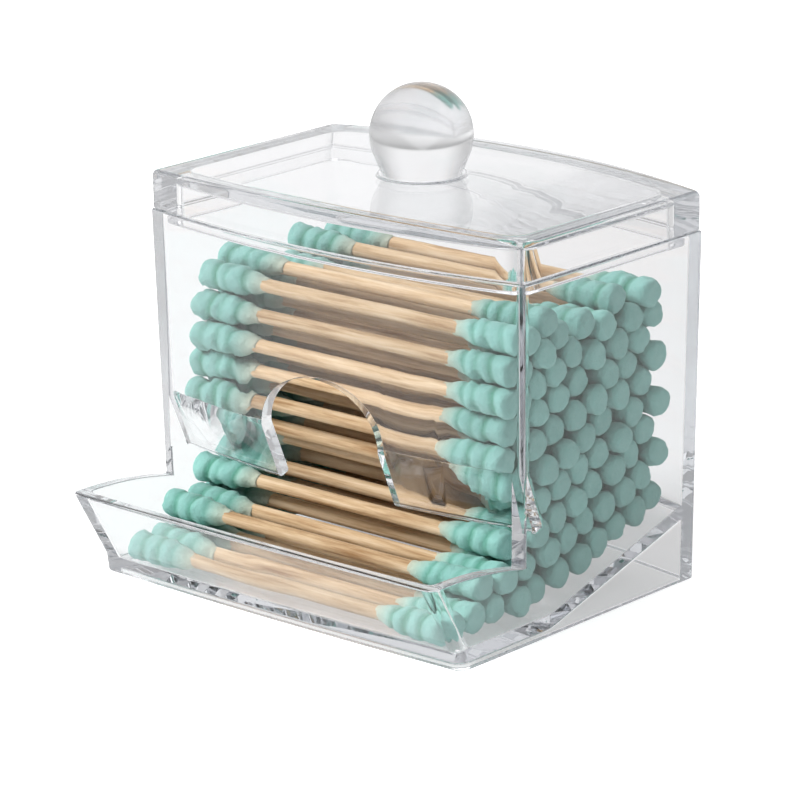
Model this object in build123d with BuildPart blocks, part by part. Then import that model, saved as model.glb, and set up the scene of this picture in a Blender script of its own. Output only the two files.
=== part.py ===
from build123d import *
import math
import os
import random

os.makedirs("parts", exist_ok=True)

# Box, one clear moulding with straight sides and a bulging front and back
side_depth = 47.4
wall_bow = 5.0
body_height = 63.0
wall = 2.5
foot_draft = 1.1
corner_cut = 0.9
inner_corner_cut = 0.9

# Tray in front of the box
tray_reach = 23.0
tray_foot_reach = 15.4
tray_bow = 0.8
tray_rim_height = 16.2
tray_rim_back_height = 14.2
tray_hump = 0.8
tray_corner_radius = 1.8
tray_inner_radius = 1.2
base_band_height = 3.3
band_lean = 0.4

# Floor, flat in the tray and then rising to the back wall
floor_thickness = 2.3
floor_top = 3.2
floor_bend_depth = 9.0
floor_back_height = 14.4
floor_bend_radius = 8.0

# Lower end of the front wall, which curls inwards over the tray
mouth_height = 18.8
curl_height = 29.5
curl_depth = 4.3
mouth_round = 1.0

# Arched finger notch in the front wall
notch_width = 27.0
notch_spring_height = 29.8
notch_top_height = 40.3

# Lid with its recess and locating lip
lid_height = 7.0
lid_crown = 1.0
lid_inset = 0.3
lid_plate = 4.0
lid_edge_round = 0.5
lip_depth = 2.4
lip_thickness = 1.9
lip_clearance = 0.3
recess_corner_radius = 4.0

# Ball knob on a low round seat
knob_radius = 9.1
knob_waist_height = 6.8
knob_flank_angle = 23.0
seat_radius = 7.8
seat_rise = 0.3

# Swabs, and how high they lie in the box and in the tray
swab_length = 73.0
bud_radius = 2.6
bud_length = 15.0
stick_radius = 1.2
side_shift = 0.9
end_clearance = 2.0
fill_height = 56.0
tray_fill_height = 4.0
row_count = 10

# Shares of the bud radius: how loose swabs lie, how finely the search steps, and
# how little two resting heights differ when they count as even
loose_share = 0.06
step_share = 0.05
even_share = 1e-6

# One overrun serves all cuts
overrun = 10.0

# Places worked out from the sizes: the box takes a swab that lies across it
box_width = swab_length + 2 * (side_shift + end_clearance + foot_draft + wall)
half_width = box_width / 2
front_y = (tray_reach + tray_bow - side_depth - wall_bow) / 2
back_y = front_y + side_depth
middle_y = (front_y + back_y) / 2
bow_radius = (half_width**2 + wall_bow**2) / (2 * wall_bow)
floor_bend_y = front_y + floor_bend_depth
floor_slope = math.atan((floor_back_height - floor_top) / (back_y - floor_bend_y))
lid_top = body_height + lid_height
seat_top = lid_top + lid_crown + seat_rise


def draft_at(height):
    """How far the drafted walls have come in at this height."""
    return foot_draft * (1 - height / body_height)


def front_at(x, inset):
    """Y of the bulging front face at x, moved inwards by inset."""
    return front_y - wall_bow + bow_radius - math.sqrt((bow_radius - inset) ** 2 - x**2)


def back_at(x, inset):
    """Y of the bulging back face at x, moved inwards by inset."""
    return back_y + wall_bow - bow_radius + math.sqrt((bow_radius - inset) ** 2 - x**2)


def box_outline(inset):
    """Outline of the box in plan: straight sides, and arcs at the front and the back."""
    side = half_width - inset
    front = front_at(side, inset)
    back = back_at(side, inset)
    with BuildSketch() as plan:
        with BuildLine():
            ThreePointArc((-side, front), (0, front_at(0, inset)), (side, front))
            Line((side, front), (side, back))
            ThreePointArc((side, back), (0, back_at(0, inset)), (-side, back))
            Line((-side, back), (-side, front))
        make_face()
    return plan.sketch


def box_plan(inset, cut):
    """Outline of the box with its corners broken."""
    with BuildSketch() as plan:
        add(box_outline(inset))
        chamfer(plan.vertices(), cut)
    return plan.sketch


def tray_plan(height, reach, inset, corner):
    """Plan of the tray at one height, from its front into the box."""
    side = half_width - draft_at(height) - inset
    front = front_y - reach + inset
    back = front_y + foot_draft + corner_cut + inset
    with BuildSketch() as plan:
        with BuildLine():
            ThreePointArc((-side, front), (0, front - tray_bow), (side, front))
            Polyline((side, front), (side, back), (-side, back), (-side, front))
        make_face()
        fillet(plan.vertices().group_by(Axis.Y)[0], corner)
    return plan.sketch


def shaft_form(inset, cut):
    """Upright part of the box as a solid form with drafted faces."""
    draft_angle = math.degrees(math.atan(foot_draft / body_height))
    with BuildPart() as form:
        with BuildSketch(Plane.XY):
            add(box_plan(foot_draft + inset, cut))
        extrude(amount=body_height, taper=-draft_angle)
    return form.part


def tray_form(inset, corner):
    """Tray as a solid form whose front leans outwards."""
    top = tray_rim_height + tray_hump + inset
    lean = (tray_reach - tray_foot_reach - band_lean) / (tray_rim_height - base_band_height)
    top_reach = tray_reach + lean * (top - tray_rim_height)
    with BuildPart() as form:
        with BuildSketch(Plane.XY):
            add(tray_plan(0, tray_foot_reach, inset, corner))
        with BuildSketch(Plane.XY.offset(base_band_height)):
            add(tray_plan(base_band_height, tray_foot_reach + band_lean, inset, corner))
        with BuildSketch(Plane.XY.offset(top)):
            add(tray_plan(top, top_reach, inset, corner))
        loft(ruled=True)
    return form.part


def outer_form():
    """Shaft and tray joined, with the tray's rim cut to its humped side line."""
    rim_front = (front_y - tray_reach, tray_rim_height)
    rim_back = (front_y, tray_rim_back_height)
    hump = (
        (rim_front[0] + rim_back[0]) / 2,
        (rim_front[1] + rim_back[1]) / 2 + tray_hump,
    )
    ahead = rim_front[0] - overrun
    above = tray_rim_height + overrun
    tray = tray_form(0, tray_corner_radius)
    shaft = shaft_form(0, corner_cut)
    with BuildPart() as form:
        add(tray)
        with BuildSketch(Plane.YZ):
            with BuildLine():
                ThreePointArc(rim_front, hump, rim_back)
                Polyline(rim_back, (back_y, rim_back[1]), (back_y, above))
                Polyline((back_y, above), (ahead, above), (ahead, rim_front[1]), rim_front)
            make_face()
        extrude(amount=box_width, both=True, mode=Mode.SUBTRACT)
        add(shaft)
    return form.part


def mouth_form():
    """Space between the side walls from the tray to the inside, below the curl."""
    behind = foot_draft + wall + inner_corner_cut
    with BuildPart() as form:
        with BuildSketch(Plane.XZ.offset(-front_y - behind)):
            with BuildLine():
                foot_side = half_width - foot_draft - wall
                curl_side = half_width - draft_at(curl_height) - wall
                Polyline(
                    (-foot_side, 0),
                    (foot_side, 0),
                    (curl_side, curl_height),
                    (-curl_side, curl_height),
                    close=True,
                )
            make_face()
        extrude(amount=behind + wall_bow + wall)
    return form.part


def floor_form(outside):
    """Flat and rising floor, trimmed to the outside of the box."""
    start = front_y - tray_reach
    back = back_y + wall_bow
    rise = math.tan(floor_slope) * (back - floor_bend_y)
    with BuildPart() as form:
        with BuildSketch(Plane.YZ) as section:
            with BuildLine():
                Polyline(
                    (start, floor_top),
                    (floor_bend_y, floor_top),
                    (back, floor_top + rise),
                    (back, floor_top + rise - floor_thickness),
                    (floor_bend_y, floor_top - floor_thickness),
                    (start, floor_top - floor_thickness),
                    close=True,
                )
            make_face()
            bends = section.vertices().filter_by_position(
                Axis.X, floor_bend_y - floor_thickness, floor_bend_y + floor_thickness
            )
            fillet(bends, floor_bend_radius)
        extrude(amount=box_width, both=True)
        add(outside, mode=Mode.INTERSECT)
    return form.part


def notch_form():
    """Arched finger notch, open at the foot of the front wall."""
    with BuildPart() as form:
        with BuildSketch(Plane.XZ.offset(-front_y - curl_depth - wall)):
            with Locations((0, notch_spring_height)):
                Ellipse(notch_width / 2, notch_top_height - notch_spring_height)
                Rectangle(
                    notch_width,
                    notch_spring_height - mouth_height + wall,
                    align=(Align.CENTER, Align.MAX),
                )
        extrude(amount=curl_depth + wall + wall_bow + wall)
    return form.part


def curl_form(outside, notch):
    """Lower end of the front wall, bent inwards and swung round the wall's bow."""
    outer = front_at(0, draft_at(curl_height))
    lean = math.atan(curl_depth / (curl_height - mouth_height))
    shift = wall * math.tan(lean / 2)
    end = outer + curl_depth
    with BuildPart() as form:
        with BuildSketch(Plane.YZ) as section:
            with BuildLine():
                Polyline(
                    (outer, curl_height),
                    (end, mouth_height),
                    (end + wall * math.cos(lean), mouth_height + wall * math.sin(lean)),
                    (outer + wall, curl_height + shift),
                    close=True,
                )
            make_face()
            fillet(section.vertices().group_by(Axis.Y)[0], mouth_round)
        revolve(axis=Axis((0, front_y - wall_bow + bow_radius, 0), (0, 0, 1)))
        add(outside, mode=Mode.INTERSECT)
        add(notch, mode=Mode.SUBTRACT)
    return form.part


outside = outer_form()
shaft_inside = shaft_form(wall, inner_corner_cut)
tray_inside = tray_form(wall, tray_inner_radius)
mouth = mouth_form()
notch = notch_form()
curl = curl_form(outside, notch)
rising_floor = floor_form(outside)

with BuildPart() as box_body:
    add(outside)
    add(shaft_inside, mode=Mode.SUBTRACT)
    add(tray_inside, mode=Mode.SUBTRACT)
    add(mouth, mode=Mode.SUBTRACT)
    add(notch, mode=Mode.SUBTRACT)
    add(curl)
    add(rising_floor)

box_body.part.label = "box_body"
export_step(box_body.part, "parts/box_body.step")


with BuildPart() as lid:
    with BuildSketch(Plane.XY.offset(body_height)):
        add(box_plan(lid_inset, corner_cut))
    extrude(amount=lid_height + lid_crown)
    # crowned top
    with BuildSketch(Plane.XZ):
        with BuildLine():
            above = lid_top + lid_crown + overrun
            ThreePointArc((-half_width, lid_top), (0, lid_top + lid_crown), (half_width, lid_top))
            Polyline(
                (half_width, lid_top),
                (half_width, above),
                (-half_width, above),
                (-half_width, lid_top),
            )
        make_face()
    extrude(amount=box_width, both=True, mode=Mode.SUBTRACT)
    chamfer(lid.faces().sort_by(Axis.Z)[-1].edges(), lid_edge_round)
    # locating lip and the recess inside it
    with BuildSketch(Plane.XY.offset(body_height - lip_depth)):
        add(box_plan(wall + lip_clearance, inner_corner_cut))
    extrude(amount=lip_depth)
    with BuildSketch(Plane.XY.offset(body_height - lip_depth)) as recess:
        add(box_outline(wall + lip_clearance + lip_thickness))
        fillet(recess.vertices(), recess_corner_radius)
    extrude(amount=lip_depth + lid_height - lid_plate, mode=Mode.SUBTRACT)
    # seat for the knob
    with BuildSketch(Plane.XY.offset(lid_top)):
        with Locations((0, middle_y)):
            Circle(seat_radius)
    extrude(amount=lid_crown + seat_rise)

lid.part.label = "lid"
export_step(lid.part, "parts/lid.step")


# The ball runs on below its waist and into a straight flank that meets it smoothly
flank_angle = math.radians(knob_flank_angle)
flank_top = knob_waist_height - knob_radius * math.sin(flank_angle)
flank_radius = knob_radius * math.cos(flank_angle)
knob_foot_radius = flank_radius - flank_top * math.tan(flank_angle)

with BuildPart() as knob:
    with BuildSketch(Plane((0, middle_y, seat_top), x_dir=(1, 0, 0), z_dir=(0, -1, 0))):
        with BuildLine():
            Polyline((0, 0), (knob_foot_radius, 0), (flank_radius, flank_top))
            CenterArc((0, knob_waist_height), knob_radius, -knob_flank_angle, 90 + knob_flank_angle)
            Line((0, knob_waist_height + knob_radius), (0, 0))
        make_face()
    revolve(axis=Axis((0, middle_y, 0), (0, 0, 1)))

knob.part.label = "knob"
export_step(knob.part, "parts/knob.step")


def front_wall_trace():
    """Points along the middle of the front wall in side view, at the swabs' ends."""
    middle = front_at(swab_length / 2, foot_draft) + wall / 2
    points = []
    span = fill_height + wall - mouth_height
    steps = round(span / (wall / 2))
    for step in range(steps + 1):
        height = mouth_height + wall / 2 + step * span / steps
        bend = max(0, curl_height - height) / (curl_height - mouth_height) * curl_depth
        points.append((middle + bend, height, wall / 2))
    return points


def support_height(y, radius):
    """Lowest centre height that the floor and the tray's front allow at y."""
    rise = math.tan(floor_slope) * (y - floor_bend_y) + radius / math.cos(floor_slope)
    run = tray_reach - tray_foot_reach - band_lean
    lean = math.atan(run / (tray_rim_height - base_band_height))
    foot = front_y - tray_foot_reach - band_lean + wall
    behind = (foot + radius / math.cos(lean) - y) / math.tan(lean)
    return max(floor_top + radius, floor_top + rise, base_band_height + behind)


def top_limit(y, radius):
    """Highest centre height that the filling reaches at y."""
    if y > front_y + wall:
        return fill_height - radius
    share = (front_y + wall - y) / (tray_reach + wall)
    return mouth_height + (tray_fill_height - mouth_height) * share - radius


def lowest_free(y, radius, placed):
    """Lowest centre height at y that is clear of everything placed there."""
    height = support_height(y, radius)
    near = [(abs(y - other[0]), other) for other in placed]
    near = [(gap, other) for gap, other in near if gap < radius + other[2]]
    moved = True
    while moved:
        moved = False
        for gap, (_, other_height, other_radius) in near:
            reach = math.sqrt((radius + other_radius) ** 2 - gap**2)
            if abs(height - other_height) < reach * (1 - 1e-9):
                height = other_height + reach
                moved = True
    return height


def resting_places():
    """Side-view centres of the swabs: each one lies in the lowest free place."""
    chance = random.Random(5)
    walls = front_wall_trace()
    placed = []
    first = front_y - tray_reach + wall + bud_radius
    last = back_at(swab_length / 2, wall + foot_draft) - bud_radius * (1 + loose_share)
    steps = round((last - first) / (bud_radius * step_share))
    columns = [first + (last - first) * step / steps for step in range(steps + 1)]
    while True:
        radius = bud_radius * (1 + loose_share * chance.random())
        choices = []
        for y in columns:
            height = lowest_free(y, radius, placed + walls)
            if height < top_limit(y, radius):
                choices.append((round(height / (bud_radius * even_share)), y, height))
        if not choices:
            return [(y, height) for y, height, _ in placed]
        _, y, height = min(choices)
        placed.append((y, height, radius))


with BuildPart() as right_bud:
    with BuildSketch(Plane.YZ.offset(swab_length / 2 - bud_length)):
        RegularPolygon(radius=bud_radius, side_count=6)
    extrude(amount=bud_length)

with BuildPart() as left_bud:
    add(right_bud.part)
    mirror(about=Plane.YZ, mode=Mode.REPLACE)

with BuildPart() as stick:
    with BuildSketch(Plane.YZ.offset(bud_length - swab_length / 2)):
        RegularPolygon(radius=stick_radius, side_count=6)
    extrude(amount=swab_length - 2 * bud_length)


# Swabs from the lowest row up, each one shifted a little sideways
places = sorted(resting_places(), key=lambda place: place[1])
shift_chance = random.Random(9)
swabs = [(shift_chance.uniform(-side_shift, side_shift), y, z) for y, z in places]

for row in range(row_count):
    start = len(swabs) * row // row_count
    end = len(swabs) * (row + 1) // row_count

    with BuildPart() as cotton_row:
        with Locations(*swabs[start:end]):
            add(right_bud.part, clean=False)
            add(left_bud.part, clean=False)
    cotton_row.part.label = f"cotton_row_{row + 1:02d}"
    export_step(cotton_row.part, f"parts/cotton_row_{row + 1:02d}.step")

    with BuildPart() as stick_row:
        with Locations(*swabs[start:end]):
            add(stick.part, clean=False)
    stick_row.part.label = f"stick_row_{row + 1:02d}"
    export_step(stick_row.part, f"parts/stick_row_{row + 1:02d}.step")
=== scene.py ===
import math
import random

import bpy
from mathutils import Matrix, Vector


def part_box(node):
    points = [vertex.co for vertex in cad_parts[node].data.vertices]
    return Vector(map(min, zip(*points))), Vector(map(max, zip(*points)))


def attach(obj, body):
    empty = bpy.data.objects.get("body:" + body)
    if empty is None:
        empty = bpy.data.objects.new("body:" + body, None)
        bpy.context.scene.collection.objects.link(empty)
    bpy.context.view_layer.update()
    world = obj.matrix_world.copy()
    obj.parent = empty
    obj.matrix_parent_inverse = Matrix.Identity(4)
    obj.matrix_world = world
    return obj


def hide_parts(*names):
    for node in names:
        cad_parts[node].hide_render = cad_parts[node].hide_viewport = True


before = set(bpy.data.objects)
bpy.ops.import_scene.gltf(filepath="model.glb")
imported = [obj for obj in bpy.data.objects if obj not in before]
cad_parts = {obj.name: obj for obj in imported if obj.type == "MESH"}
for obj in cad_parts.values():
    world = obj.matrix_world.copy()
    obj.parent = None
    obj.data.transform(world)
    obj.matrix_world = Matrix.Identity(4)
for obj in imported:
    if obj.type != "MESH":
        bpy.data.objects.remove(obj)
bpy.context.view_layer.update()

MM = 0.001
ROWS = [f"{row:02d}" for row in range(1, 11)]

# Camera: azimuth, elevation and roll in degrees, the point it looks at in millimetres,
# its distance, and its lens in pixels of a picture of this width
CAMERA_TURN = (41.831, 16.564, -0.883)
CAMERA_AIM = (-2.623, 5.70, 30.534)
CAMERA_DISTANCE = 724.62 * MM
LENS_PIXELS = 4122.2
PICTURE_WIDTH = 800
SENSOR_WIDTH = 36
CLIP_START = 0.05
CLIP_END = 20

# Lid: air in a closed joint, how far the lip reaches down below the joint, the depth of
# the recess above the joint and how far its ceiling is raised
AIR_GAP = 0.06 * MM
LIP_DEPTH = 2.4 * MM
RECESS_DEPTH = 3.0 * MM
CEILING_RISE = 2.0 * MM

# How wide the edges of the box, of its mouth and of the lid are rounded
BOX_EDGE = 0.4 * MM
MOUTH_EDGE = 0.05 * MM
LID_EDGE = 0.35 * MM
EDGE_SEGMENTS = 4

# Nearer points are one, nearer heights are level, faces that turn less are one, edges
# that turn more are rounded, and edges that turn less are shaded smooth
WELD = 0.03 * MM
SAME_LEVEL = 0.01 * MM
SAME_FACE = math.radians(0.6)
SHARP_EDGE = math.radians(28)
SMOOTH_EDGE = math.radians(32)

# Flats of the upright corners: how far their normals point along X and along Y, and up at
# most, their least reach, where the outermost ones are, and the front of the shaft
SLANT = (0.5, 0.87)
UPWARD = 0.2
MIN_FLAT = 0.12 * MM
OUTER_REACH = 40 * MM
SHAFT_FRONT = -17 * MM

# Front wall's lower end: how far it reaches sideways, from front to back, and in height
MOUTH_REACH = 41 * MM
MOUTH_DEPTH = (-20 * MM, -11.5 * MM)
MOUTH_HEIGHT = (17 * MM, 45 * MM)

# Clear plastic
PLASTIC_IOR = 1.49
PASSING_LIGHT = (0.95, 0.955, 0.96, 1)
PLASTIC_DEPTH = (0.50, 0.52, 0.56, 1)

# Cotton: darker and paler mint, the green of the shade painted into its grooves, and where
# it thins out
MINT = (0.175, 0.425, 0.375, 1)
PALE_MINT = (0.31, 0.565, 0.52, 1)
GROOVE_SHADE_GREEN = (0.07, 0.27, 0.19, 1)
THIN_COTTON = (0.50, 0.49, 0.38, 1)

# Wood: the dark, middle and pale parts of its grain
DARK_WOOD = (0.28, 0.14, 0.05, 1)
MIDDLE_WOOD = (0.60, 0.43, 0.26, 1)
PALE_WOOD = (0.80, 0.65, 0.47, 1)

# Swabs: their sizes, how far a stick reaches into its two buds together, and within what
# distance, seen along X, the points of a row belong to one stick
BUD_LENGTH = 15 * MM
BUD_RADIUS = 2.76 * MM
STICK_RADIUS = 1.26 * MM
HIDDEN_LENGTH = 8 * MM
STICK_REACH = 2.6 * MM
BUD_SIDES = 20
STICK_SIDES = 14
STICK_CUTS = (-0.3, 0.0, 0.3)
BUD_PATTERNS = 6
LAYING_SEED = 21

# Form of a bud, in millimetres back from its tip: the end of the round rim, where the
# taper starts and where it ends. As shares of the radius: the flat of the tip, how much
# the body narrows before the taper, and the neck. Last, how late the taper narrows
TIP_ROUND = 1.5
TAPER_START = 8.0
BUD_END = 15.2
TIP_FLAT = 0.5
BODY_TAPER = 0.03
NECK = 0.46
TAPER_CURVE = 1.7

# Rings of a bud, in millimetres: the first step, by how much a step grows on its way
# back from the tip, and the widest step
FIRST_STEP = 0.1
STEP_GROWTH = 0.45
RING_STEP = 0.55

# Pinches of a bud: where they are, in millimetres back from its tip, how far that varies,
# how wide they are, their depth as a share of the radius, and how strongly shade is painted
# into them
PINCHES = (3.9, 7.3, 10.4)
PINCH_SHIFT = 0.5
PINCH_WIDTH = 0.62
PINCH_DEPTH = (0.05, 0.12)
PINCH_SHADE = 9

# Lean of the winding in degrees, and over how many millimetres it sets in and fades out
LEAN = (6, 14)
LEAN_START = 3
LEAN_STOP = 4

# Lumps of the winding: size and height, in metres, and the level that stays in place
LUMPS = ((0.0028, 0.0009), (0.0012, 0.0005))
LUMP_LEVEL = 0.62

# Where the cotton starts to thin out and is thinnest, as a share of the bud's length
THINNING = (0.7, 1.05)

# Studio: a level direction across the line of sight. For the floor, in metres, and for
# the studio, as a share of a direction: where the side begins to turn grey, where it is
# greyest, and how bright it is there. Then how bright mirrored surroundings stay
SIDEWAYS = (0.745, 0.667, 0)
FLOOR_SIDE = (0.065, 0.16, 0.62)
STUDIO_SIDE = (0.25, 0.8, 0.6)
MIRRORED_SHARE = 0.45

# Floor: size, height, the share of lamplight and the own brightness that are seen in or
# through plastic, and the own brightness that the camera sees
FLOOR_SIZE = 6
FLOOR_LEVEL = -0.0001
LAMPLIT_SHARE = 0.5
FLOOR_GLOW = 0.98
CAMERA_GLOW = 0.65

# Strength of the even light on the object, and how often light turns in clear plastic,
# where it runs far along the inside
SOFT_LIGHT = 0.26
PLASTIC_BOUNCES = 64


# Camera: a long lens from the front right, a little above the box

def place_camera():
    azimuth, elevation, roll = (math.radians(angle) for angle in CAMERA_TURN)
    aim = Vector(CAMERA_AIM) * MM
    ahead = Vector((-math.sin(azimuth) * math.cos(elevation),
                    math.cos(azimuth) * math.cos(elevation), -math.sin(elevation)))
    right = Vector((math.cos(azimuth), math.sin(azimuth), 0))
    up = right.cross(ahead)
    across = right * math.cos(roll) + up * math.sin(roll)
    upward = up * math.cos(roll) - right * math.sin(roll)
    turn = Matrix((across, upward, -ahead)).transposed().to_4x4()
    data = bpy.data.cameras.new("camera")
    camera = bpy.data.objects.new("camera", data)
    bpy.context.scene.collection.objects.link(camera)
    camera.matrix_world = Matrix.Translation(aim - ahead * CAMERA_DISTANCE) @ turn
    data.sensor_width = SENSOR_WIDTH
    data.lens = LENS_PIXELS * SENSOR_WIDTH / PICTURE_WIDTH
    data.clip_start = CLIP_START
    data.clip_end = CLIP_END
    bpy.context.scene.camera = camera


# Small helpers for modelling by hand

def deselect():
    if bpy.context.object and bpy.context.object.mode != "OBJECT":
        bpy.ops.object.mode_set(mode="OBJECT")
    bpy.ops.object.select_all(action="DESELECT")


def pick(*objects):
    deselect()
    for one in objects:
        one.select_set(True)
    bpy.context.view_layer.objects.active = objects[0]


def settle(piece):
    """Puts a piece's place, turn and scale into its mesh."""
    pick(piece)
    bpy.ops.object.transform_apply(location=True, rotation=True, scale=True)
    return piece


def copy_of(piece, name):
    twin = bpy.data.objects.new(name, piece.data.copy())
    bpy.context.scene.collection.objects.link(twin)
    return twin


def dress(piece, material):
    piece.data.materials.clear()
    piece.data.materials.append(material)


def write_attribute(mesh, name, values):
    attribute = mesh.attributes.get(name) or mesh.attributes.new(name, "FLOAT", "POINT")
    attribute.data.foreach_set("value", values)


# Small helpers for materials

def new_material(name):
    material = bpy.data.materials.new(name)
    material.use_nodes = True
    nodes = material.node_tree.nodes
    nodes.clear()
    return material, nodes, material.node_tree.links


def new_group(name, inputs, outputs):
    """A shader node group with named number sockets, its input and its output node."""
    group = bpy.data.node_groups.new(name, "ShaderNodeTree")
    for direction, sockets in (("INPUT", inputs), ("OUTPUT", outputs)):
        for socket in sockets:
            group.interface.new_socket(
                socket, in_out=direction, socket_type="NodeSocketFloat")
    source = group.nodes.new("NodeGroupInput")
    sink = group.nodes.new("NodeGroupOutput")
    return group.nodes, group.links, source, sink


def place_group(nodes, name, **values):
    """A node group in a material, with the values of its inputs."""
    group = nodes.new("ShaderNodeGroup")
    group.node_tree = bpy.data.node_groups[name]
    for socket, value in values.items():
        group.inputs[socket.replace("_", " ").title()].default_value = value
    return group


def fill(links, socket, value):
    """Gives a socket a plain value or another node's output."""
    if isinstance(value, bpy.types.NodeSocket):
        links.new(value, socket)
    else:
        socket.default_value = value


def calculate(nodes, links, operation, *values):
    step = nodes.new("ShaderNodeMath")
    step.operation = operation
    for socket, value in zip(step.inputs, values):
        fill(links, socket, value)
    return step.outputs[0]


def map_range(nodes, links, value, old=(0, 1), new=(0, 1)):
    """A value moved from its old range to a new one."""
    change = nodes.new("ShaderNodeMapRange")
    for side, limits in (("From", old), ("To", new)):
        change.inputs[f"{side} Min"].default_value = limits[0]
        change.inputs[f"{side} Max"].default_value = limits[1]
    links.new(value, change.inputs["Value"])
    return change


def mix_colours(nodes, links, factor, first, second):
    mix = nodes.new("ShaderNodeMix")
    mix.data_type = "RGBA"
    fill(links, mix.inputs["Factor"], factor)
    fill(links, mix.inputs["A"], first)
    fill(links, mix.inputs["B"], second)
    return mix.outputs["Result"]


def mix_shaders(nodes, links, factor, first, second):
    mix = nodes.new("ShaderNodeMixShader")
    links.new(factor, mix.inputs["Fac"])
    links.new(first, mix.inputs[1])
    links.new(second, mix.inputs[2])
    return mix.outputs["Shader"]


def colour_ramp(nodes, links, value, first, middle, last):
    """A colour that runs through three stops, each with its position and colour."""
    ramp = nodes.new("ShaderNodeValToRGB")
    stops = ramp.color_ramp.elements
    stops[0].position, stops[0].color = first
    stops[1].position, stops[1].color = last
    stops.new(middle[0]).color = middle[1]
    links.new(value, ramp.inputs["Fac"])
    return ramp.outputs["Color"]


def add_bump(nodes, links, height, strength, distance):
    bump = nodes.new("ShaderNodeBump")
    bump.inputs["Strength"].default_value = strength
    bump.inputs["Distance"].default_value = distance
    links.new(height, bump.inputs["Height"])
    return bump.outputs["Normal"]


def read_attribute(nodes, name):
    attribute = nodes.new("ShaderNodeAttribute")
    attribute.attribute_name = name
    return attribute.outputs["Fac"]


def vary(nodes, links, colour, range_of_tones):
    """Makes a swab's colour a little darker or lighter than that of the next one."""
    shade = nodes.new("ShaderNodeHueSaturation")
    level = map_range(nodes, links, read_attribute(nodes, "tone"), new=range_of_tones)
    links.new(level.outputs["Result"], shade.inputs["Value"])
    links.new(colour, shade.inputs["Color"])
    return shade.outputs["Color"]


def largest_of(nodes, links, *values):
    result = values[0]
    for value in values[1:]:
        result = calculate(nodes, links, "MAXIMUM", result, value)
    return result


def in_plastic(nodes, links, ray):
    """1 where something is seen mirrored in a surface or through clear plastic."""
    return largest_of(nodes, links, ray.outputs["Is Glossy Ray"],
                      ray.outputs["Is Transmission Ray"])


# Clear plastic: a polished moulding with faint waves and haze

def moulding_surface_group():
    nodes, links, source, sink = new_group(
        "moulding_surface", ("Wave Size", "Wave Height", "Haze"), ("Height", "Roughness"))
    place = nodes.new("ShaderNodeTexCoord")
    wave = nodes.new("ShaderNodeTexNoise")
    wave.inputs["Detail"].default_value = 1
    links.new(place.outputs["Object"], wave.inputs["Vector"])
    links.new(source.outputs["Wave Size"], wave.inputs["Scale"])
    height = calculate(nodes, links, "MULTIPLY", wave.outputs["Fac"],
                       source.outputs["Wave Height"])
    links.new(height, sink.inputs["Height"])
    smear = nodes.new("ShaderNodeTexNoise")
    smear.inputs["Scale"].default_value = 90
    smear.inputs["Detail"].default_value = 5
    links.new(place.outputs["Object"], smear.inputs["Vector"])
    spread = map_range(nodes, links, smear.outputs["Fac"], old=(0.25, 0.75))
    links.new(source.outputs["Haze"], spread.inputs["To Max"])
    links.new(spread.outputs["Result"], sink.inputs["Roughness"])


def clear_plastic(name, tint, waves, wave_height, haze, dimming):
    """Solid clear plastic that dims light along its length, as seen in its edges.
    Light that lands on the swabs inside passes straight through."""
    material, nodes, links = new_material(name)
    out = nodes.new("ShaderNodeOutputMaterial")
    body = nodes.new("ShaderNodeBsdfPrincipled")
    body.inputs["Base Color"].default_value = (*tint, 1)
    body.inputs["Transmission Weight"].default_value = 1
    body.inputs["IOR"].default_value = PLASTIC_IOR
    surface = place_group(nodes, "moulding_surface",
                          wave_size=waves, wave_height=wave_height, haze=haze)
    relief = add_bump(nodes, links, surface.outputs["Height"], strength=1, distance=0.0001)
    links.new(relief, body.inputs["Normal"])
    links.new(surface.outputs["Roughness"], body.inputs["Roughness"])
    ray = nodes.new("ShaderNodeLightPath")
    lighting = largest_of(nodes, links, ray.outputs["Is Shadow Ray"],
                          ray.outputs["Is Diffuse Ray"])
    passing = nodes.new("ShaderNodeBsdfTransparent")
    passing.inputs["Color"].default_value = PASSING_LIGHT
    mix = mix_shaders(nodes, links, lighting, body.outputs["BSDF"], passing.outputs["BSDF"])
    links.new(mix, out.inputs["Surface"])
    depth = nodes.new("ShaderNodeVolumeAbsorption")
    depth.inputs["Color"].default_value = PLASTIC_DEPTH
    depth.inputs["Density"].default_value = dimming
    links.new(depth.outputs["Volume"], out.inputs["Volume"])
    return material


# Cotton and wood share one effect: fine fibres, drawn out or pressed together along X

def fibre_group():
    nodes, links, source, sink = new_group("fibre", ("Fineness", "Along"), ("Mask",))
    place = nodes.new("ShaderNodeTexCoord")
    stretch = nodes.new("ShaderNodeCombineXYZ")
    stretch.inputs["Y"].default_value = 1
    stretch.inputs["Z"].default_value = 1
    links.new(source.outputs["Along"], stretch.inputs["X"])
    scaled = nodes.new("ShaderNodeVectorMath")
    scaled.operation = "MULTIPLY"
    links.new(place.outputs["Object"], scaled.inputs[0])
    links.new(stretch.outputs["Vector"], scaled.inputs[1])
    noise = nodes.new("ShaderNodeTexNoise")
    noise.inputs["Detail"].default_value = 6
    noise.inputs["Roughness"].default_value = 0.65
    links.new(scaled.outputs["Vector"], noise.inputs["Vector"])
    links.new(source.outputs["Fineness"], noise.inputs["Scale"])
    links.new(noise.outputs["Fac"], sink.inputs["Mask"])


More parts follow.
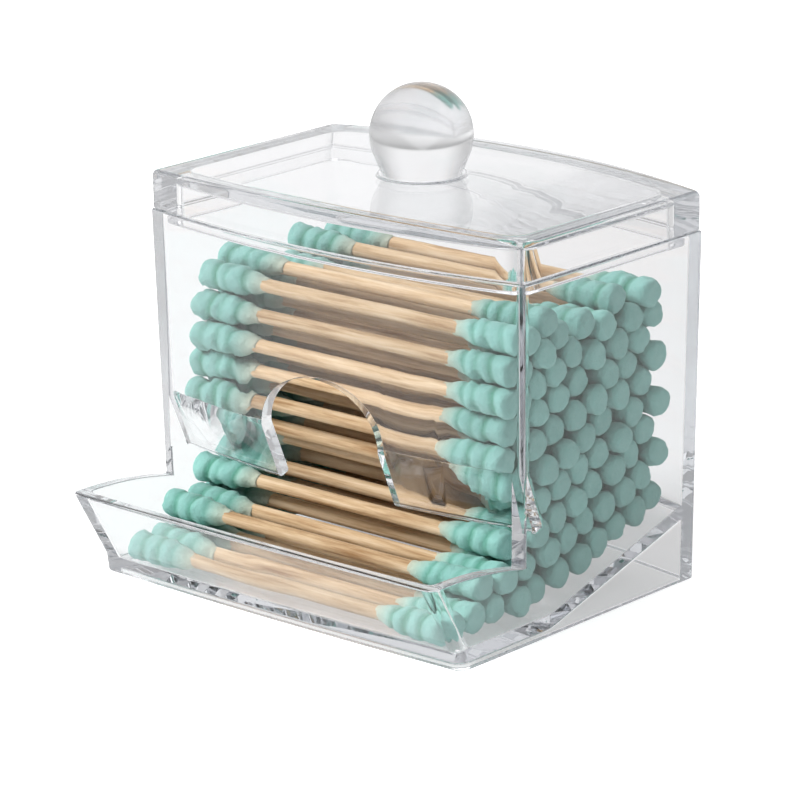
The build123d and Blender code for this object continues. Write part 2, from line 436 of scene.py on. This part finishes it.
def cotton_material():
    """Mint cotton with painted shade in the grooves, fading to cream where it thins out."""
    material, nodes, links = new_material("mint_cotton")
    out = nodes.new("ShaderNodeOutputMaterial")
    body = nodes.new("ShaderNodeBsdfPrincipled")
    body.inputs["Roughness"].default_value = 0.95
    body.inputs["Specular IOR Level"].default_value = 0.15
    body.inputs["Sheen Weight"].default_value = 0.2
    body.inputs["Sheen Roughness"].default_value = 0.6
    body.inputs["Sheen Tint"].default_value = (0.9, 1, 0.97, 1)
    links.new(body.outputs["BSDF"], out.inputs["Surface"])
    fibre = place_group(nodes, "fibre", fineness=1600, along=2.2).outputs["Mask"]
    tuft = place_group(nodes, "fibre", fineness=420, along=1.3).outputs["Mask"]
    mint = mix_colours(nodes, links, tuft, MINT, PALE_MINT)
    # painted shade: a darker green where the winding is pinched into grooves
    shaded_mint = mix_colours(nodes, links, read_attribute(nodes, "groove_shade"), mint, GROOVE_SHADE_GREEN)
    thin = map_range(nodes, links, read_attribute(nodes, "along"), old=THINNING)
    fade = mix_colours(nodes, links, thin.outputs["Result"], shaded_mint, THIN_COTTON)
    links.new(vary(nodes, links, fade, (0.92, 1.08)), body.inputs["Base Color"])
    both = calculate(nodes, links, "MULTIPLY_ADD", fibre, 0.4, tuft)
    relief = add_bump(nodes, links, both, strength=1, distance=0.0004)
    links.new(relief, body.inputs["Normal"])
    return material


def stick_material():
    """Bare wood with fine grain and wider streaks along the stick."""
    material, nodes, links = new_material("bare_stick_wood")
    out = nodes.new("ShaderNodeOutputMaterial")
    body = nodes.new("ShaderNodeBsdfPrincipled")
    body.inputs["Specular IOR Level"].default_value = 0.3
    links.new(body.outputs["BSDF"], out.inputs["Surface"])
    grain = place_group(nodes, "fibre", fineness=1500, along=0.05).outputs["Mask"]
    streak = place_group(nodes, "fibre", fineness=420, along=0.08).outputs["Mask"]
    streaks = calculate(nodes, links, "MULTIPLY", streak, 0.55)
    blend = calculate(nodes, links, "MULTIPLY_ADD", grain, 0.45, streaks)
    wood = colour_ramp(nodes, links, blend,
                       (0.34, DARK_WOOD), (0.5, MIDDLE_WOOD), (0.66, PALE_WOOD))
    links.new(vary(nodes, links, wood, (0.8, 1.15)), body.inputs["Base Color"])
    rough = map_range(nodes, links, grain, new=(0.5, 0.75))
    links.new(rough.outputs["Result"], body.inputs["Roughness"])
    relief = add_bump(nodes, links, grain, strength=0.5, distance=0.00012)
    links.new(relief, body.inputs["Normal"])
    return material


# Swabs

def bud_share(back):
    """Radius of a bud, as a share, without its pinches: round rim, body, tapering neck."""
    if back < TIP_ROUND:
        rise = math.sqrt(1 - (1 - back / TIP_ROUND) ** 2)
        return TIP_FLAT + (1 - TIP_FLAT) * rise
    if back < TAPER_START:
        return 1 - BODY_TAPER * (back - TIP_ROUND) / (TAPER_START - TIP_ROUND)
    body = 1 - BODY_TAPER
    fall = (back - TAPER_START) / (BUD_END - TAPER_START)
    return body - (body - NECK) * fall ** TAPER_CURVE


def model_bud(name, seed):
    """A wound bud with its tip at X = 0 and its thin end towards -X: a disc that is
    extruded ring by ring, fat at the turns of the winding and pinched between them."""
    chance = random.Random(seed)
    pinches = [(at + chance.uniform(-PINCH_SHIFT, PINCH_SHIFT), chance.uniform(*PINCH_DEPTH))
               for at in PINCHES]
    lean = math.radians(chance.uniform(*LEAN))
    radius = BUD_RADIUS * bud_share(0)
    deselect()
    bpy.ops.mesh.primitive_circle_add(
        vertices=BUD_SIDES, radius=radius, fill_type="NGON",
        location=(0, 0, 0), rotation=(0, math.pi / 2, 0))
    bud = bpy.context.object
    bud.name = name
    settle(bud)
    bpy.ops.object.mode_set(mode="EDIT")
    bpy.ops.mesh.select_all(action="SELECT")
    rings = [(0.0, 0.0)]
    back, tilt = 0.0, 0.0
    while back < BUD_END:
        step = min(FIRST_STEP + STEP_GROWTH * back, RING_STEP)
        back = min(back + step, BUD_END)
        pinch = sum(depth * math.exp(-((back - at) / PINCH_WIDTH) ** 2)
                    for at, depth in pinches)
        wide = BUD_RADIUS * (bud_share(back) - pinch)
        middle = (-back * MM, 0, 0)
        bpy.ops.mesh.extrude_region_move(
            TRANSFORM_OT_translate={"value": ((rings[-1][0] - back) * MM, 0, 0)})
        bpy.ops.transform.resize(value=(1, wide / radius, wide / radius),
                                 center_override=middle)
        # the winding runs round aslant
        turn = lean * min(1, back / LEAN_START) * min(1, (BUD_END - back) / LEAN_STOP)
        bpy.ops.transform.rotate(value=turn - tilt, orient_axis="Y", center_override=middle)
        radius, tilt = wide, turn
        # how much shade is painted on this ring, from how deeply it is pinched
        rings.append((back, min(1, pinch * PINCH_SHADE)))
    bpy.ops.mesh.select_all(action="SELECT")
    bpy.ops.mesh.normals_make_consistent(inside=False)
    bpy.ops.object.mode_set(mode="OBJECT")
    around = len(bud.data.vertices) // len(rings)
    along, groove_shade = [], []
    for count in range(len(bud.data.vertices)):
        back, depth = rings[min(count // around, len(rings) - 1)]
        along.append(min(back * MM / BUD_LENGTH, THINNING[1]))
        groove_shade.append(depth)
    # each point carries the shade painted on its ring, for the cotton's colour
    write_attribute(bud.data, "along", along)
    write_attribute(bud.data, "groove_shade", groove_shade)
    # loose, uneven winding
    for size, height in LUMPS:
        lumps = bpy.data.textures.new(f"{name}_lumps", "CLOUDS")
        lumps.noise_scale = size
        push = bud.modifiers.new("lumps", "DISPLACE")
        push.texture = lumps
        push.strength = height
        push.mid_level = LUMP_LEVEL
        push.texture_coords = "LOCAL"
        bpy.ops.object.modifier_apply(modifier="lumps")
    bpy.ops.object.shade_smooth()
    return bud


def model_stick(name, length):
    """A round stick along X, in four lengths, with plain ends that the buds hide."""
    deselect()
    bpy.ops.mesh.primitive_cylinder_add(
        vertices=STICK_SIDES, radius=STICK_RADIUS, depth=length, location=(0, 0, 0),
        rotation=(0, math.pi / 2, 0))
    stick = bpy.context.object
    stick.name = name
    settle(stick)
    bpy.ops.object.mode_set(mode="EDIT")
    for cut in STICK_CUTS:
        bpy.ops.mesh.select_all(action="SELECT")
        bpy.ops.mesh.bisect(plane_co=(length * cut, 0, 0), plane_no=(1, 0, 0))
    bpy.ops.mesh.select_all(action="SELECT")
    bpy.ops.mesh.normals_make_consistent(inside=False)
    bpy.ops.object.mode_set(mode="OBJECT")
    bpy.ops.object.shade_smooth_by_angle(angle=math.radians(40))
    return stick


def stick_places(row):
    """The left end and the middle of each stick in a row of the solid model."""
    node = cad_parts[f"stick_row_{row}"]
    ends = []
    for vertex in node.data.vertices:
        place = vertex.co
        if place.x > 0:
            continue
        for group in ends:
            if math.hypot(place.y - group[0].y, place.z - group[0].z) < STICK_REACH:
                group.append(place)
                break
        else:
            ends.append([place])
    places = []
    for group in ends:
        low = [min(point[axis] for point in group) for axis in range(3)]
        high = [max(point[axis] for point in group) for axis in range(3)]
        places.append(Vector((low[0], (low[1] + high[1]) / 2, (low[2] + high[2]) / 2)))
    return sorted(places, key=lambda place: (round(place.z, 5), round(place.y, 5)))


def bare_length():
    """Length of a stick between its buds, from the first stick of the solid model."""
    first = stick_places(ROWS[0])[0]
    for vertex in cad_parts[f"stick_row_{ROWS[0]}"].data.vertices:
        away = math.hypot(vertex.co.y - first.y, vertex.co.z - first.z)
        if vertex.co.x > 0 and away < STICK_REACH:
            return vertex.co.x - first.x


def lay_copy(pattern, name, place, tone):
    """A copy of a bud or stick, put in its place and given its own tone."""
    piece = copy_of(pattern, name)
    piece.data.transform(place)
    write_attribute(piece.data, "tone", [tone] * len(piece.data.vertices))
    return piece


def lay_swabs(cotton, wood):
    """Lays a detailed swab in the place of every swab of the solid model."""
    chance = random.Random(LAYING_SEED)
    buds = [model_bud(f"bud_pattern_{seed}", seed) for seed in range(BUD_PATTERNS)]
    clear = bare_length()
    pattern = model_stick("stick_pattern", clear + HIDDEN_LENGTH)
    for row in ROWS:
        laid_buds, laid_sticks = [], []
        for count, place in enumerate(stick_places(row)):
            middle = Vector((place.x + clear / 2, place.y, place.z))
            tone = chance.random()
            spin = Matrix.Rotation(chance.uniform(0, math.tau), 4, "X")
            laid_sticks.append(lay_copy(
                pattern, f"stick_{row}_{count}", Matrix.Translation(middle) @ spin, tone))
            for side in (1, -1):
                bud = chance.choice(buds)
                tip = middle + Vector((side * (clear / 2 + BUD_LENGTH), 0, 0))
                spin = Matrix.Rotation(chance.uniform(0, math.tau), 4, "X")
                if side < 0:
                    spin = Matrix.Rotation(math.pi, 4, "Z") @ spin
                tone = chance.random()
                laid_buds.append(lay_copy(
                    bud, f"bud_{row}_{count}_{side}", Matrix.Translation(tip) @ spin, tone))
        for name, slot, laid, node, material in (
                ("buds", "cotton", laid_buds, "cotton_row_", cotton),
                ("sticks", "stick_wood", laid_sticks, "stick_row_", wood)):
            pick(*laid)
            bpy.ops.object.join()
            piece = bpy.context.object
            piece.name = f"{name}_{row}"
            dress(piece, material)
            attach(piece, "box")
            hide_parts(node + row)
    for model in buds + [pattern]:
        bpy.data.objects.remove(model)


# Box, lid and knob: the solid model's shapes with the edges of a polished moulding

def square_corners(piece, outer_only):
    """Closes the flats of the upright corners, so that the corners can be rounded."""
    mesh = piece.data
    corners = {}
    for face in mesh.polygons:
        slanted = all(SLANT[0] < abs(face.normal[axis]) < SLANT[1] for axis in (0, 1))
        if outer_only:
            inside = abs(face.center.x) < OUTER_REACH
        else:
            inside = face.center.y < SHAFT_FRONT
        if not slanted or inside or abs(face.normal.z) > UPWARD:
            continue
        for edge in face.edge_keys:
            ends = sorted((mesh.vertices[index] for index in edge),
                          key=lambda vertex: abs(vertex.co.x))
            front, side = ends[0].co, ends[1].co
            step = side - front
            if MIN_FLAT < abs(step.x) and abs(step.z) < abs(step.x):
                reach = math.copysign(step.x, front.y - side.y)
                corner = Vector((side.x, side.y + reach, front.z))
                corners[ends[0].index] = corners[ends[1].index] = corner
    for index, corner in corners.items():
        mesh.vertices[index].co = corner
    bpy.ops.object.mode_set(mode="EDIT")
    bpy.ops.mesh.select_all(action="SELECT")
    bpy.ops.mesh.remove_doubles(threshold=WELD)
    bpy.ops.object.mode_set(mode="OBJECT")


def raise_level(piece, level, rise):
    """Raises the flat face at a level."""
    bpy.ops.object.mode_set(mode="EDIT")
    bpy.ops.mesh.select_mode(type="VERT")
    bpy.ops.mesh.select_all(action="DESELECT")
    bpy.ops.object.mode_set(mode="OBJECT")
    for vertex in piece.data.vertices:
        vertex.select = abs(vertex.co.z - level) < SAME_LEVEL
    bpy.ops.object.mode_set(mode="EDIT")
    bpy.ops.transform.translate(value=(0, 0, rise))
    bpy.ops.object.mode_set(mode="OBJECT")


def round_edges(piece, edge, wanted):
    """Rounds the sharp edges whose middle is in the wanted region."""
    bpy.ops.object.mode_set(mode="EDIT")
    bpy.ops.mesh.select_mode(type="EDGE")
    bpy.ops.mesh.select_all(action="DESELECT")
    bpy.ops.mesh.edges_select_sharp(sharpness=SHARP_EDGE)
    bpy.ops.object.mode_set(mode="OBJECT")
    for line in piece.data.edges:
        middle = sum((piece.data.vertices[v].co for v in line.vertices), Vector()) / 2
        if line.select and not wanted(middle):
            line.select = False
    bpy.ops.object.mode_set(mode="EDIT")
    bpy.ops.mesh.bevel(offset=edge, segments=EDGE_SEGMENTS, profile=0.5,
                       clamp_overlap=False)
    bpy.ops.object.mode_set(mode="OBJECT")


def in_mouth(place):
    """True on the front wall's lower end, where the curl and the notch meet."""
    return (abs(place.x) < MOUTH_REACH
            and MOUTH_DEPTH[0] < place.y < MOUTH_DEPTH[1]
            and MOUTH_HEIGHT[0] < place.z < MOUTH_HEIGHT[1])


def polished_copy(node, name, edge=None, mouth_edge=None, contact=None, ceiling=None):
    """A copy of a node with welded faces and softly rounded edges. A face that lies on
    another piece at the contact height is lifted by a hair, as air is in the real joint,
    and a recess's ceiling is raised, which thins the plate above it."""
    piece = copy_of(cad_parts[node], name)
    pick(piece)
    bpy.ops.object.mode_set(mode="EDIT")
    bpy.ops.mesh.select_all(action="SELECT")
    bpy.ops.mesh.remove_doubles(threshold=WELD)
    bpy.ops.mesh.dissolve_limited(angle_limit=SAME_FACE, delimit={"NORMAL"})
    bpy.ops.object.mode_set(mode="OBJECT")
    if contact is not None:
        raise_level(piece, contact, AIR_GAP)
    if ceiling is not None:
        raise_level(piece, ceiling, CEILING_RISE)
    if edge:
        square_corners(piece, outer_only=contact is not None)
        round_edges(piece, edge, lambda middle: not in_mouth(middle))
    if mouth_edge:
        round_edges(piece, mouth_edge, in_mouth)
    bpy.ops.object.shade_smooth_by_angle(angle=SMOOTH_EDGE)
    level = piece.modifiers.new("level", "WEIGHTED_NORMAL")
    level.keep_sharp = True
    level.weight = 80
    bpy.ops.object.modifier_apply(modifier="level")
    return piece


def dress_mouldings():
    moulding_surface_group()
    box = clear_plastic("box_plastic", (0.99, 0.99, 0.995),
                        waves=45, wave_height=0.14, haze=0.012, dimming=10)
    lid = clear_plastic("lid_plastic", (0.985, 0.985, 0.99),
                        waves=35, wave_height=0.06, haze=0.015, dimming=10)
    knob = clear_plastic("knob_plastic", (0.985, 0.987, 0.99),
                         waves=60, wave_height=0.1, haze=0.3, dimming=7)
    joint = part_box("lid")[0].z + LIP_DEPTH
    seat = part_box("knob")[0].z
    for node, name, material, body, finish in (
            ("box_body", "box_moulding", box, "box",
             {"edge": BOX_EDGE, "mouth_edge": MOUTH_EDGE}),
            ("lid", "lid_moulding", lid, "lid",
             {"edge": LID_EDGE, "contact": joint, "ceiling": joint + RECESS_DEPTH}),
            ("knob", "knob_moulding", knob, "lid", {"contact": seat})):
        piece = polished_copy(node, name, **finish)
        dress(piece, material)
        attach(piece, body)
        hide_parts(node)


# Studio

def side_fall(nodes, links, place, start, end, least):
    """A level that falls from 1 to its least towards the left and right of the line of
    sight."""
    across = nodes.new("ShaderNodeVectorMath")
    across.operation = "DOT_PRODUCT"
    across.inputs[1].default_value = SIDEWAYS
    links.new(place, across.inputs[0])
    reach = calculate(nodes, links, "ABSOLUTE", across.outputs["Value"])
    fall = map_range(nodes, links, reach, old=(start, end), new=(1, least))
    fall.interpolation_type = "SMOOTHSTEP"
    return fall.outputs["Result"]


def mirrored(nodes, links, level, ray):
    """A level that is lower where it is seen mirrored in a surface."""
    keep = calculate(nodes, links, "MULTIPLY_ADD", ray.outputs["Is Glossy Ray"],
                     MIRRORED_SHARE - 1, 1)
    return calculate(nodes, links, "MULTIPLY", level, keep)


def make_floor():
    """A pale floor that is white to the camera. Seen in or through clear plastic it is
    white behind the object and greyer towards both sides, which draws the edges."""
    deselect()
    bpy.ops.mesh.primitive_plane_add(size=FLOOR_SIZE, location=(0, 0, FLOOR_LEVEL))
    floor = bpy.context.object
    floor.name = "floor"
    material, nodes, links = new_material("pale_floor")
    out = nodes.new("ShaderNodeOutputMaterial")
    body = nodes.new("ShaderNodeBsdfDiffuse")
    place = nodes.new("ShaderNodeTexCoord")
    noise = nodes.new("ShaderNodeTexNoise")
    noise.inputs["Scale"].default_value = 30
    links.new(place.outputs["Object"], noise.inputs["Vector"])
    pale = mix_colours(nodes, links, noise.outputs["Fac"],
                       (0.93, 0.93, 0.935, 1), (0.95, 0.95, 0.955, 1))
    ray = nodes.new("ShaderNodeLightPath")
    fall = side_fall(nodes, links, place.outputs["Object"], *FLOOR_SIDE)
    level = largest_of(nodes, links, mirrored(nodes, links, fall, ray),
                       ray.outputs["Is Camera Ray"], ray.outputs["Is Diffuse Ray"])
    through = in_plastic(nodes, links, ray)
    lamplit = map_range(nodes, links, through, new=(1, LAMPLIT_SHARE))
    tone = nodes.new("ShaderNodeVectorMath")
    tone.operation = "SCALE"
    links.new(pale, tone.inputs[0])
    links.new(lamplit.outputs["Result"], tone.inputs["Scale"])
    links.new(tone.outputs["Vector"], body.inputs["Color"])
    own = map_range(nodes, links, through, new=(0, FLOOR_GLOW))
    shown = calculate(nodes, links, "MULTIPLY_ADD", ray.outputs["Is Camera Ray"],
                      CAMERA_GLOW, own.outputs["Result"])
    glow = nodes.new("ShaderNodeEmission")
    links.new(calculate(nodes, links, "MULTIPLY", shown, level), glow.inputs["Strength"])
    add = nodes.new("ShaderNodeAddShader")
    links.new(body.outputs["BSDF"], add.inputs[0])
    links.new(glow.outputs["Emission"], add.inputs[1])
    links.new(add.outputs["Shader"], out.inputs["Surface"])
    dress(floor, material)


def make_world():
    """Soft even light on the object. Seen directly the studio is white. Seen in or
    through clear plastic it is white behind the object, greyer overhead and at the sides."""
    world = bpy.data.worlds.new("studio")
    bpy.context.scene.world = world
    world.use_nodes = True
    nodes, links = world.node_tree.nodes, world.node_tree.links
    nodes.clear()
    out = nodes.new("ShaderNodeOutputWorld")
    soft = nodes.new("ShaderNodeBackground")
    soft.inputs["Strength"].default_value = SOFT_LIGHT
    white = nodes.new("ShaderNodeBackground")
    white.inputs["Color"].default_value = (1, 1, 1, 1)
    tent = nodes.new("ShaderNodeBackground")
    place = nodes.new("ShaderNodeTexCoord")
    split = nodes.new("ShaderNodeSeparateXYZ")
    links.new(place.outputs["Generated"], split.inputs["Vector"])
    shade = colour_ramp(nodes, links, split.outputs["Z"], (0, (1, 1, 1, 1)),
                        (0.35, (0.97, 0.97, 0.985, 1)), (1, (0.68, 0.68, 0.7, 1)))
    links.new(shade, tent.inputs["Color"])
    fall = side_fall(nodes, links, place.outputs["Generated"], *STUDIO_SIDE)
    links.new(fall, tent.inputs["Strength"])
    ray = nodes.new("ShaderNodeLightPath")
    inside = mix_shaders(nodes, links, in_plastic(nodes, links, ray),
                         soft.outputs["Background"], tent.outputs["Background"])
    seen = mix_shaders(nodes, links, ray.outputs["Is Camera Ray"],
                       inside, white.outputs["Background"])
    links.new(seen, out.inputs["Surface"])


def add_light(name, place, aim, size, power):
    """A square lamp that isn't seen mirrored in the plastic."""
    data = bpy.data.lights.new(name, "AREA")
    data.shape = "RECTANGLE"
    data.size = data.size_y = size
    data.energy = power
    lamp = bpy.data.objects.new(name, data)
    bpy.context.scene.collection.objects.link(lamp)
    lamp.location = place
    facing = Vector(aim) - Vector(place)
    lamp.rotation_euler = facing.to_track_quat("-Z", "Y").to_euler()
    lamp.visible_glossy = False
    return lamp


place_camera()
make_world()
make_floor()
# the key lamp isn't seen through the plastic either, where it would draw white streaks
key = add_light("key", (-0.65, -0.6, 0.7), aim=(0, 0, 0.04), size=0.45, power=17)
key.visible_transmission = False
add_light("side", (0.9, 0.1, 0.5), aim=(0, 0, 0.04), size=0.6, power=1.4)
add_light("top", (0, 0.1, 1.0), aim=(0, 0, 0), size=0.8, power=3)

fibre_group()
dress_mouldings()
lay_swabs(cotton_material(), stick_material())

bpy.context.scene.view_settings.view_transform = "Standard"
cycles = bpy.context.scene.cycles
cycles.max_bounces = PLASTIC_BOUNCES
cycles.glossy_bounces = PLASTIC_BOUNCES
cycles.transmission_bounces = PLASTIC_BOUNCES
